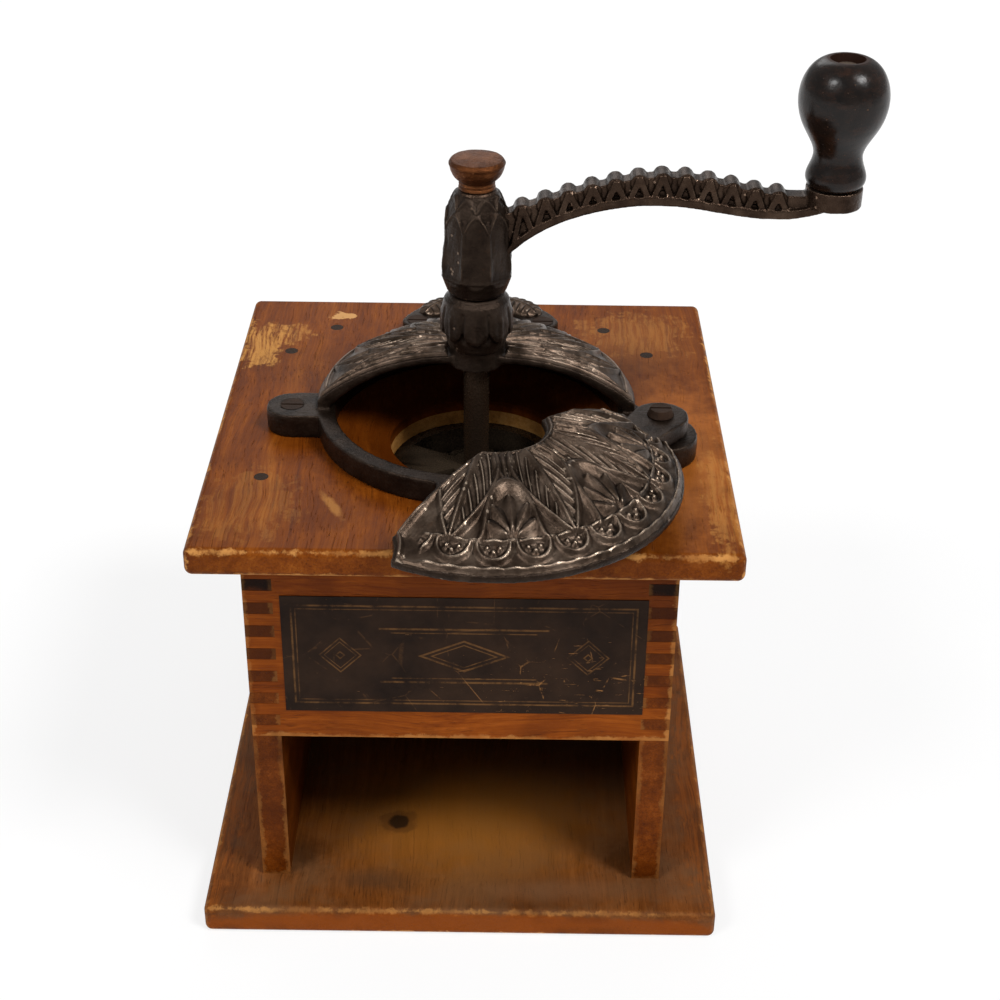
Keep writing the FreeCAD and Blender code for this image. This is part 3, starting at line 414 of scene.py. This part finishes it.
def label_paint():
    """Worn dark paper label: a thin double border, plain rules and three lozenges, rubbed and scratched."""
    p = Paint("label_paint")
    centre, half = node_box("front_label")
    x, _, z = p.axes()
    across = p.math("ABSOLUTE", p.math("SUBTRACT", x, centre.x))
    up = p.math("SUBTRACT", z, centre.z)
    rise = p.math("ABSOLUTE", up)
    inset = p.math("MINIMUM", p.math("SUBTRACT", half.x, across), p.math("SUBTRACT", half.z, rise))
    browns = [(0.3, (0.012, 0.0052, 0.0023)), (0.7, (0.031, 0.0145, 0.0068))]
    paper = p.ramp(p.noise(p.place, 14.0, 5.0), browns)
    ink = p.math("MAXIMUM", p.stripe(inset, 3.6, 0.30), p.math("MULTIPLY", p.stripe(inset, 5.0, 0.16), 0.8))
    rules = ((11.0, 29.0, 0.35), (9.4, 25.0, 0.18), (-9.4, 25.0, 0.18), (-11.0, 29.0, 0.35))
    for height, reach, weight in rules:
        rule = p.math("MULTIPLY", p.stripe(up, height, weight), p.band(across, reach, reach - 1.0))
        ink = p.math("MAXIMUM", ink, rule)
    lozenge = p.math("ADD", p.math("MULTIPLY", across, 0.42), rise)
    for size, weight in ((6.2, 0.35), (4.6, 0.18)):
        ink = p.math("MAXIMUM", ink, p.stripe(lozenge, size, weight))
    for shift in (-42.0, 42.0):
        far = p.math("ABSOLUTE", p.math("SUBTRACT", p.math("SUBTRACT", x, centre.x), shift))
        small = p.math("ADD", far, rise)
        for size, weight in ((7.0, 0.30), (5.4, 0.16), (1.4, 0.30)):
            ink = p.math("MAXIMUM", ink, p.stripe(small, size, weight))
    fade = p.band(p.noise(p.place, 7.0, 6.0, 0.7), 0.34, 0.62)
    gold = p.math("MULTIPLY", p.math("MULTIPLY", ink, fade), 0.8)
    colour = p.mix(gold, paper, (0.150, 0.068, 0.020))
    slanted = {"Vector": p.place, "Rotation": (0.0, 0.5, 0.0), "Scale": (0.12, 1.0, 1.0)}
    turned = p.add("ShaderNodeMapping", slanted)
    low_right = p.band(p.spot((38.0, centre.y, centre.z - 12.0), (52.0, 30.0, 22.0)), 1.2, 0.2)
    cut = p.between(low_right, 0.715, 0.640)
    scratch = p.band(p.math("SUBTRACT", p.noise(turned.outputs[0], 0.9, 3.0, 0.6), cut), 0.0, 0.03)
    chips = p.band(p.math("SUBTRACT", p.noise(p.place, 1.7, 6.0, 0.75), cut), 0.0, 0.03)
    cells = {"Vector": p.place, "Scale": 1 / 15.0}
    creases = p.add("ShaderNodeTexVoronoi", cells, feature="DISTANCE_TO_EDGE")
    wander = p.band(p.noise(p.place, 9.0, 5.0, 0.7), 0.50, 0.62)
    crease = p.band(creases.outputs["Distance"], 0.016, 0.006)
    crease = p.math("MULTIPLY", crease, p.math("MULTIPLY", wander, p.between(low_right, 0.15, 0.9)))
    bare = p.math("MAXIMUM", p.math("MAXIMUM", scratch, chips), crease)
    colour = p.mix(p.math("MULTIPLY", bare, 0.8), colour, (0.30, 0.135, 0.042))
    rough = p.between(p.noise(p.place, 5.0, 4.0), 0.42, 0.62)
    return p.finish(colour, rough, p.math("SUBTRACT", p.noise(p.place, 3.0, 5.0), bare), 0.00012, shine=0.10)


paints = {
    "top_board": wood_top, "base_board": wood_base, "front_panel": wood_front, "back_panel": wood_back,
    "left_side": wood_left, "right_side": wood_right, "mill_board": wood_raw_with_light, "front_label": label_paint(),
    "hopper_casting": black_iron, "hopper_cover": black_iron, "cover_rivet": nail_iron,
    "hopper_screws": nail_iron, "top_nails": nail_iron, "base_screws": old_steel,
    "mill_board_screws": old_steel, "burr_housing": shaded_iron, "outer_burr": shaded_iron,
    "burr_screws": old_steel, "drive_shaft": shaft_steel, "inner_burr": burr_iron, "burr_pin": old_steel,
    "crank_arm": lit_arm_iron, "thumb_nut": nut_metal, "knob": knob_paint(), "knob_spindle": old_steel,
    "knob_washer": old_steel,
}
for node_name, paint in paints.items():
    nodes[node_name].data.materials.clear()
    nodes[node_name].data.materials.append(paint)


# Cast pieces: the solids' sharp edges are rounded as a sand casting's are

def cast(name, voxel, rounds):
    """Rounds a CAD node's edges for show, and gives its faces a casting's slight unevenness."""
    node = nodes[name]
    remesh = node.modifiers.new("cast_skin", "REMESH")
    remesh.mode = "VOXEL"
    remesh.voxel_size = voxel * MM
    remesh.use_smooth_shade = True
    soften = node.modifiers.new("cast_edges", "SMOOTH")
    soften.factor = 0.5
    soften.iterations = rounds
    clouds = bpy.data.textures.new(name + "_sand", "CLOUDS")
    clouds.noise_scale = 3.5 * MM
    sand = node.modifiers.new("cast_sand", "DISPLACE")
    sand.texture = clouds
    sand.texture_coords = "LOCAL"
    sand.strength = 0.25 * MM
    sand.mid_level = 0.6


cast("hopper_casting", 0.5, 14)
cast("hopper_cover", 0.5, 6)
cast("crank_arm", 0.34, 4)
cast("thumb_nut", 0.25, 4)


# Cast relief: leaves on the cover, the dome and the rear foot, and petals round the two posts

def arc_height(points, r):
    """Height at r of the circle through three points of a section."""
    (ax, ay), (bx, by), (cx, cy) = points
    d = 2 * (ax * (by - cy) + bx * (cy - ay) + cx * (ay - by))
    a2, b2, c2 = ax * ax + ay * ay, bx * bx + by * by, cx * cx + cy * cy
    ux = (a2 * (by - cy) + b2 * (cy - ay) + c2 * (ay - by)) / d
    uy = (a2 * (cx - bx) + b2 * (ax - cx) + c2 * (bx - ax)) / d
    radius = math.hypot(ax - ux, ay - uy)
    return uy + np.sqrt(radius ** 2 - (r - ux) ** 2)


def ridge(distance, width):
    """A soft bump of height 1 where distance is 0."""
    return np.exp(-(distance / width) ** 2)


def step(value, low, high):
    """Rises smoothly from 0 to 1 as value goes from low to high."""
    t = np.clip((value - low) / (high - low), 0.0, 1.0)
    return t * t * (3 - 2 * t)


def sand_grain(x, y):
    """A casting's fine unevenness, from a few crossed waves."""
    total = 0.0
    for k in range(1, 6):
        wave = np.sin(1.7 * k * x + 2.3 * k * y + 1.3 * k * k)
        total = total + wave * np.sin(2.9 * k * y - 1.1 * k * x + 0.7 * k) / k
    return total


def leaf(r, theta, middle, r_foot, r_tip, half_width, veins):
    """A pointed leaf from r_foot to r_tip: raised rim, midrib and slanting side veins."""
    side = r * np.sin(theta - middle)
    facing = np.cos(theta - middle) > 0
    u = np.clip((r * np.cos(theta - middle) - r_foot) / (r_tip - r_foot), 0.0, 1.0)
    width = half_width * np.sin(np.pi * u ** 0.8) ** 0.85
    inside = step(width - np.abs(side), -0.2, 0.6) * facing
    rim = 1.0 * ridge(np.abs(side) - width, 1.15) * step(u, 0.0, 0.06) * step(1 - u, 0.0, 0.03)
    midrib = 0.85 * ridge(side, 0.8 + 0.5 * (1 - u)) * step(u, 0.0, 0.05) * inside
    phase = (u * (r_tip - r_foot) - 1.5 * np.abs(side) - 0.12 * side ** 2) / veins
    vein = 0.48 * (0.5 + 0.5 * np.cos(2 * np.pi * phase)) ** 3 * inside * step(np.abs(side), 0.4, 1.6)
    body = 0.25 * inside * (1 - (side / (width + 0.01)) ** 2 * 0.6)
    return np.where(facing, np.maximum(rim, body + np.maximum(midrib, vein)), 0.0)


def palmette(r, theta, middle, r_foot, height, half_width):
    """A fan of five fingers under an arch, standing on the border and pointing at the axis."""
    side = r * np.sin(theta - middle)
    rise = r_foot - r * np.cos(theta - middle)
    flare = half_width * (1.0 + 0.35 * np.exp(-rise / 2.5))
    reach = np.hypot(side / flare, np.maximum(rise, 0.0) / height)
    above = step(rise, -0.6, 0.4)
    relief = 1.0 * ridge((reach - 1.0) * half_width, 1.15) * above
    for k in range(-2, 3):
        lean = 0.46 * k
        length = height * (0.80 - 0.10 * abs(k))
        along = rise * math.cos(lean) + side * math.sin(lean)
        off = side * math.cos(lean) - rise * math.sin(lean)
        share = np.clip(along / length, 0.0, 1.0)
        width = 0.4 + 1.5 * np.sin(np.pi * share ** 1.4)
        finger = 0.95 * ridge(off, width) * step(share, 0.05, 0.25) * step(1 - share, 0.0, 0.12)
        relief = np.maximum(relief, finger * above * step(1.0 - reach, 0.0, 0.12))
    return relief


def scallop_border(r, theta, r_in, r_out, pitch):
    """A border band: two beads with small arches between them, each holding three dots."""
    middle = (r_in + r_out) / 2
    beads = 0.85 * ridge(r - r_in, 0.5) + 0.75 * ridge(r - r_out, 0.55)
    beads *= 0.82 + 0.18 * np.cos(theta * r_in / 0.9)
    along = (theta * middle / pitch) % 1.0 - 0.5
    side = along * pitch
    arch = np.hypot(side, (r - r_in) * 0.9)
    band = step(r, r_in, r_in + 0.5) * step(r_out - r, 0.0, 0.5)
    arches = 0.8 * ridge(arch - pitch * 0.42, 0.8)
    dots = 0.8 * ridge(np.hypot(side, r - r_in - 3.4), 0.9)
    for sign in (-1, 1):
        dots = np.maximum(dots, 0.6 * ridge(np.hypot(side - sign * 2.0, r - r_in - 2.0), 0.75))
    return np.maximum(beads, band * np.maximum(arches, dots))


def shell_piece(name, body, paint, outer, inner):
    """A closed thin shell between two grids of points in millimetres, riding on a body."""
    rows, columns = outer.shape[:2]
    points = np.concatenate([outer.reshape(-1, 3), inner.reshape(-1, 3)]) * MM
    index = np.arange(rows * columns).reshape(rows, columns)
    far = index + rows * columns

    def quads(a, b, c, d):
        return np.stack([a.ravel(), b.ravel(), c.ravel(), d.ravel()], axis=1)

    faces = [
        quads(index[:-1, :-1], index[1:, :-1], index[1:, 1:], index[:-1, 1:]),
        quads(far[:-1, :-1], far[:-1, 1:], far[1:, 1:], far[1:, :-1]),
        quads(index[0, :-1], index[0, 1:], far[0, 1:], far[0, :-1]),
        quads(index[-1, :-1], far[-1, :-1], far[-1, 1:], index[-1, 1:]),
        quads(index[:-1, 0], far[:-1, 0], far[1:, 0], index[1:, 0]),
        quads(index[:-1, -1], index[1:, -1], far[1:, -1], far[:-1, -1]),
    ]
    mesh = bpy.data.meshes.new(name)
    mesh.from_pydata(points.tolist(), [], np.concatenate(faces).tolist())
    mesh.polygons.foreach_set("use_smooth", np.ones(len(mesh.polygons), bool))
    mesh.materials.append(paint)
    piece = bpy.data.objects.new(name, mesh)
    bpy.context.scene.collection.objects.link(piece)
    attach(piece, body)
    return piece


# Skins that carry the relief: grid step, depth into the solid, stand-off, gap to the solid's edge,
# how far the skin's own edge dips, and the height of the sand's grain
relief_step = 0.32
skin_depth = 1.2
skin_rise = 0.3
skin_inset = 0.5
skin_dive = 1.4
sand_height = 0.035

# Relief heights, and the cover's pattern: first leaf, leaf spacing, and the border's radii and pitch
cover_relief_h, dome_relief_h = 2.1, 1.8
cover_leaf_first, cover_leaf_spacing = math.radians(207.0), math.radians(44.0)
border_in, border_out, border_pitch = 51.0, 59.6, 13.0
dome_leaf_spacing = math.radians(37.0)
dome_bead_r = 52.5

# Posts: the skin's stand-off, how far its ends dip, and the height of the sand's grain
post_rise, post_dive, post_sand_height = 0.45, 1.3, 0.04


def sector_grid(r_low, r_high, start_of, end_of):
    """Radius and angle over a part of a disc whose two ends change with the radius."""
    r = np.arange(r_low, r_high + relief_step / 2, relief_step)[:, None]
    start, end = start_of(r), end_of(r)
    columns = int(r_high * float(np.max(end - start)) / relief_step)
    t = np.linspace(0.0, 1.0, columns)[None, :]
    return np.broadcast_to(r, (len(r), columns)), start + (end - start) * t


def edge_margin(r, theta, low, high, start, end):
    """How far a point of a sector lies inside its edges."""
    return np.minimum(np.minimum(r - low, high - r), np.minimum(theta - start, end - theta) * r)


def framed(relief, margin):
    """Relief that fades out before the edges of a sector, inside a low plain rim."""
    return np.maximum(relief * step(margin, 1.2, 3.0), 0.45 * ridge(margin - 1.5, 0.8))


def cover_relief():
    """The cover's skin: leaves and palmettes in turn, over a border of arches, with a plain left end."""
    low, high = cover_arc[0][0] + skin_inset, cover_lip[0] - skin_inset

    def start_of(r):
        straight = np.pi + np.arcsin((cover_cut + skin_inset) / r)
        reach = math.hypot(ear_reach, ear_forward)
        swing = (r ** 2 + reach ** 2 - ear_clear ** 2) / (2 * r * reach)
        scoop = np.pi + math.atan2(ear_forward, ear_reach) + np.arccos(np.clip(swing, -1, 1))
        return np.where(swing < 1.0, np.maximum(straight, scoop), straight)

    def end_of(r):
        return 2 * np.pi - np.arcsin((cover_cut + skin_inset) / r)

    r, theta = sector_grid(low, high, start_of, end_of)
    bead_r, bead_h = cover_arc[2]
    slope = (cover_lip[1] - bead_h) / (cover_lip[0] - bead_r)
    crown = arc_height(cover_arc, np.minimum(r, bead_r))
    height = np.where(r < bead_r, crown, bead_h + slope * (r - bead_r))
    relief = scallop_border(r, theta, border_in, border_out, border_pitch)
    field = step(border_in + 0.8 - r, 0.0, 0.4)
    for k in range(4):
        middle = cover_leaf_first + k * cover_leaf_spacing
        relief = np.maximum(relief, field * leaf(r, theta, middle, 14.0, 52.0, 8.6, 6.4))
    for k in range(-1, 4):
        middle = cover_leaf_first + (k + 0.5) * cover_leaf_spacing
        relief = np.maximum(relief, field * palmette(r, theta, middle, border_in, 19.5, 8.2))
        relief = np.maximum(relief, field * 0.7 * leaf(r, theta, middle, 15.0, 31.5, 2.6, 2.4))
    x, y = r * np.cos(theta), r * np.sin(theta)
    lug = np.hypot(x - (pivot.x - axis.x), y - (pivot.y - axis.y))
    end_gap = (theta - start_of(r)) * r
    plain = step(lug, 12.5, 16.5) * step(end_gap + np.maximum(44.0 - r, 0.0), 7.0, 10.0)
    margin = edge_margin(r, theta, low, high + 1.5, start_of(r), end_of(r))
    lift = skin_rise + cover_relief_h * framed(relief * plain, margin) + sand_height * sand_grain(x, y)
    lift += 1.1 * ridge(end_gap - 1.6, 1.3) * step(r, 40.0, 46.0)
    dive = edge_margin(r, theta, low, high, start_of(r), end_of(r))
    lift += skin_dive * (step(dive, 0.0, 1.0) - 1.0) - 1.5 * (1 - step(lug, 10.5, 13.0))
    grid = np.stack([x, y, height + lift], axis=-1)
    under = np.stack([x, y, height - skin_depth], axis=-1)
    return shell_piece("cover_leaves", "cover", relief_iron_and_sheen, swung(grid), swung(under))


def swung(grid):
    """From the closed cover's own place about the axis to where it stands open."""
    c, s = math.cos(cover_open), math.sin(cover_open)
    x = grid[..., 0] + axis.x - pivot.x
    y = grid[..., 1] + axis.y - pivot.y
    return np.stack([pivot.x + c * x - s * y, pivot.y + s * x + c * y, deck_z + grid[..., 2]], axis=-1)


def dome_relief():
    """The half dome's skin: a row of long leaves with shorter ones between them."""
    low, high = 10.0, dome_arc[2][0] - skin_inset

    def start_of(r):
        return -np.arcsin((dome_cut - skin_inset) / r)

    def end_of(r):
        return np.pi - start_of(r)

    r, theta = sector_grid(low, high, start_of, end_of)
    height = arc_height(dome_arc, r)
    relief = 0.8 * ridge(r - dome_bead_r, 0.8)
    curl = theta + 0.16 * np.sign(np.cos(theta)) * np.sin(np.pi * (r - low) / (high - low))
    for k in range(6):
        middle = math.radians(90.0) + (k - 2.5) * dome_leaf_spacing
        relief = np.maximum(relief, leaf(r, curl, middle, 8.0, dome_bead_r, 9.6, 4.6))
    for k in range(7):
        middle = math.radians(90.0) + (k - 3) * dome_leaf_spacing
        relief = np.maximum(relief, 0.85 * leaf(r, curl, middle, 22.0, dome_bead_r, 5.4, 4.0))
    x, y = r * np.cos(theta), r * np.sin(theta)
    margin = edge_margin(r, theta, low - 3.0, high + 1.5, start_of(r), end_of(r))
    lift = skin_rise + dome_relief_h * framed(relief, margin) + sand_height * sand_grain(x, y)
    dive = edge_margin(r, theta, low, high, start_of(r), end_of(r))
    lift += skin_dive * (step(dive, 0.0, 1.0) - 1.0)
    shift = np.array([axis.x, axis.y, deck_z])
    grid = np.stack([x, y, height + lift], axis=-1) + shift
    under = np.stack([x, y, height - skin_depth], axis=-1) + shift
    return shell_piece("dome_leaves", "frame", dome_iron_and_sheen, grid, under)


def smooth_section(h, heights, radii):
    """Radius of a post at height h: a soft curve through the section's points."""
    heights, radii = np.array(heights), np.array(radii)
    slopes = np.gradient(radii, heights)
    k = np.clip(np.searchsorted(heights, h) - 1, 0, len(heights) - 2)
    h0, h1 = heights[k], heights[k + 1]
    t = (h - h0) / (h1 - h0)
    rise = radii[k] * (2 * t ** 3 - 3 * t ** 2 + 1) + radii[k + 1] * (3 * t ** 2 - 2 * t ** 3)
    lean = slopes[k] * (t ** 3 - 2 * t ** 2 + t) + slopes[k + 1] * (t ** 3 - t ** 2)
    return rise + lean * (h1 - h0)


def post_relief(name, body, section, z_foot, flats, lift_of):
    """An eight sided skin round a post on the axis. section lists radius and height over z_foot,
    flats is the width across flats at the foot and top, and lift_of gives the relief in millimetres."""
    radii, heights = zip(*section)
    h = np.arange(heights[0] + 0.3, heights[-1] - 0.3, relief_step)[:, None]
    columns = 260
    theta = np.linspace(0.0, 2 * np.pi, columns)[None, :]
    turn = (theta / (np.pi / 4) + 0.5) % 1.0 - 0.5
    across = np.interp(h, (heights[0], heights[-1]), flats)
    flat = across / 2 / np.cos(turn * np.pi / 4)
    round_off = smooth_section(h, heights, radii)
    radius = np.minimum(round_off, flat)
    margin = np.minimum(h - h.min(), h.max() - h)
    grain = post_sand_height * sand_grain(theta * 10.0, h + 0 * theta)
    lift = lift_of(h, turn, radius) + grain + post_dive * (step(margin, 0.0, 0.8) - 1.0)
    outer_r = radius + post_rise + lift
    inner_r = radius - skin_depth + 0 * theta

    def around(r):
        z = z_foot + h + 0 * theta
        return np.stack([axis.x + r * np.cos(theta), axis.y + r * np.sin(theta), z], axis=-1)

    outer, inner = around(outer_r)[:, ::-1], around(inner_r)[:, ::-1]
    return shell_piece(name, body, black_iron, outer, inner)


def hub_lift(h, turn, radius):
    """Eight panels with raised borders and rounded tips, a second row of tips, and a plain bowl below."""
    half = radius * math.pi / 8
    side = turn * 2 * half
    offset = (turn % 1.0 - 0.5) * 2 * half
    borders = 0.6 * ridge(np.abs(side) - half, 0.8) * step(h, 7.0, 11.0) * step(29.0 - h, 0.0, 3.0)
    tip = 29.8 - 6.0 * (side / half) ** 2
    arches = 0.85 * ridge(h - tip, 1.0)
    swell = 0.45 * step(h, 17.0, 27.0) * step(tip - h, -0.5, 1.0)
    tip_above = 34.6 - 4.0 * (offset / half) ** 2
    upper = 0.6 * ridge(h - tip_above, 0.9) * step(h - tip, 0.0, 1.0)
    rim = 0.35 * ridge(h - 7.0, 0.7)
    return np.maximum(np.maximum(borders, arches), np.maximum(upper, np.maximum(swell, rim)))


def tower_lift(h, turn, radius):
    """A collar of eight hanging petals with notched lower ends."""
    h = h - tower_section[0][1]
    half = radius * math.pi / 8
    side = turn * 2 * half
    tip = 4.5 + 4.5 * (side / half) ** 2
    body = 0.85 * step(h - tip, 0.0, 0.8) * step(19.5 - h, 0.0, 1.5)
    groove = 0.75 * ridge(np.abs(side) - half, 0.75) * step(h, 4.0, 7.0) * step(17.0 - h, 0.0, 2.0)
    rib = 0.4 * ridge(side, 0.7) * step(h - tip, 0.0, 1.5) * step(16.0 - h, 0.0, 3.0)
    return body - groove + rib


hub_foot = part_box("crank_arm")[0].z / MM
hub_section = ((9.3, 0.0), (11.7, 7.5), (10.6, 18.0), (9.4, 28.5), (6.3, 36.5))
tower_section = ((9.1, 31.5), (11.1, 41.0), (9.3, 52.0))


def tail_relief(name, sign):
    """A veined leaf on one fluke of the rear foot."""
    a = np.arange(12.0, 57.0, 0.7)[:, None]
    t = np.linspace(-1.0, 1.0, 41)[None, :]
    share = (a - 12.0) / 45.0
    half = 5.7 * np.sqrt(np.clip(1.0 - (2 * share - 1.0) ** 4, 0.0, 1.0)) + 0.05
    along = np.radians(a) * tail_r
    wave = 0.5 + 0.5 * np.cos(2 * np.pi * (along - 2.2 * np.abs(t)) / 2.8)
    veins = 0.5 * wave ** 3 * step(np.abs(t), 0.05, 0.2)
    veins = np.maximum(veins * step(1 - np.abs(t), 0.05, 0.2), 0.6 * ridge(t, 0.12))
    rise = 3.2 * np.sqrt(np.clip(1 - t ** 2, 0, 1)) * np.sin(np.pi * np.clip(share, 0.02, 0.98)) ** 0.4
    r = tail_r + half * t
    bearing = np.radians(90.0 + sign * a)
    x, y = axis.x + r * np.cos(bearing), axis.y + tail_back + r * np.sin(bearing)
    top = deck_z + tail_h - 0.3 + rise + veins * (rise > 0.4)
    grid = np.stack([x, y, top], axis=-1)
    under = np.stack([x, y, np.full_like(top, deck_z + tail_h - 1.5)], axis=-1)
    return shell_piece(name, "frame", dome_iron_and_sheen, grid[:, ::sign], under[:, ::sign])


cover_relief()
dome_relief()
tail_relief("tail_leaf_left", 1)
tail_relief("tail_leaf_right", -1)
post_relief("hub_petals", "crank", hub_section, hub_foot, (22.7, 18.6), hub_lift)
post_relief("tower_petals", "frame", tower_section, deck_z, (21.6, 21.6), tower_lift)


# Stage: a pale paper floor, two softboxes in front and a weak light behind

object_middle = Vector((0.0, 0.0, 0.14))
floor_half = 6.0
floor_glow = 0.76
sky_strength = 0.36
softbox_angle = math.radians(18.0)
softboxes = (
    ("key_right", (0.60, -0.42, 1.04), 2.10),
    ("key_left", (-0.66, -0.56, 0.94), 1.25),
)


def lamp(name, kind, place, power):
    """A lamp that looks at the middle of the mill."""
    data = bpy.data.lights.new(name, kind)
    data.energy = power
    holder = bpy.data.objects.new(name, data)
    bpy.context.scene.collection.objects.link(holder)
    holder.location = place
    holder.rotation_mode = "QUATERNION"
    holder.rotation_quaternion = (object_middle - Vector(place)).to_track_quat("-Z", "Y")
    return data


floor_mesh = bpy.data.meshes.new("floor")
floor_corners = [(-floor_half, -floor_half, 0), (floor_half, -floor_half, 0),
                 (floor_half, floor_half, 0), (-floor_half, floor_half, 0)]
floor_mesh.from_pydata(floor_corners, [], [(0, 1, 2, 3)])
floor = bpy.data.objects.new("floor", floor_mesh)
bpy.context.scene.collection.objects.link(floor)
floor_paint = Paint("floor_paper")
floor_tone = floor_paint.ramp(floor_paint.noise(floor_paint.place, 90.0, 3.0), [
    (0.3, (0.885, 0.885, 0.885)), (0.7, (0.90, 0.90, 0.90))])
floor_paint.finish(floor_tone, 0.9)
rays = floor_paint.add("ShaderNodeLightPath").outputs
seen = floor_paint.math("MAXIMUM", rays["Is Camera Ray"], rays["Is Glossy Ray"])
seen = floor_paint.math("MAXIMUM", seen, rays["Is Transmission Ray"])
glow = floor_paint.add("ShaderNodeEmission", {"Color": (1.0, 1.0, 1.0, 1.0), "Strength": 1.0})
share = floor_paint.math("MULTIPLY", seen, floor_glow)
layers = {0: share, 1: floor_paint.shader.outputs[0], 2: glow.outputs[0]}
paper = floor_paint.add("ShaderNodeMixShader", layers)
floor_paint.join(paper.outputs[0], floor_paint.tree.nodes["Material Output"].inputs["Surface"])
floor_mesh.materials.append(floor_paint.material)

world = bpy.data.worlds.new("studio")
world.use_nodes = True
bpy.context.scene.world = world
sky = world.node_tree.nodes["Background"]
sky.inputs["Color"].default_value = (1.0, 1.0, 1.0, 1.0)
sky.inputs["Strength"].default_value = sky_strength

for name, place, strength in softboxes:
    softbox = lamp(name, "SUN", place, strength)
    softbox.angle = softbox_angle
rim = lamp("rim", "AREA", (-0.1, 1.1, 1.0), 3.0)
rim.shape = "DISK"
rim.size = 0.8

camera_data = bpy.data.cameras.new("camera")
camera_data.lens = camera_lens
camera_data.sensor_width = camera_sensor
camera_data.clip_start = 0.01
camera_data.clip_end = 50.0
camera = bpy.data.objects.new("camera", camera_data)
bpy.context.scene.collection.objects.link(camera)
turn = (Matrix.Rotation(camera_yaw, 3, "Z") @ Matrix.Rotation(-camera_pitch, 3, "X")
        @ Matrix.Rotation(camera_roll, 3, "Y"))
right, ahead, above = (turn @ Vector(v) for v in ((1, 0, 0), (0, 1, 0), (0, 0, 1)))
camera.matrix_world = Matrix.Translation(camera_place) @ Matrix((right, above, -ahead)).transposed().to_4x4()
bpy.context.scene.camera = camera
bpy.context.scene.view_settings.view_transform = "Standard"
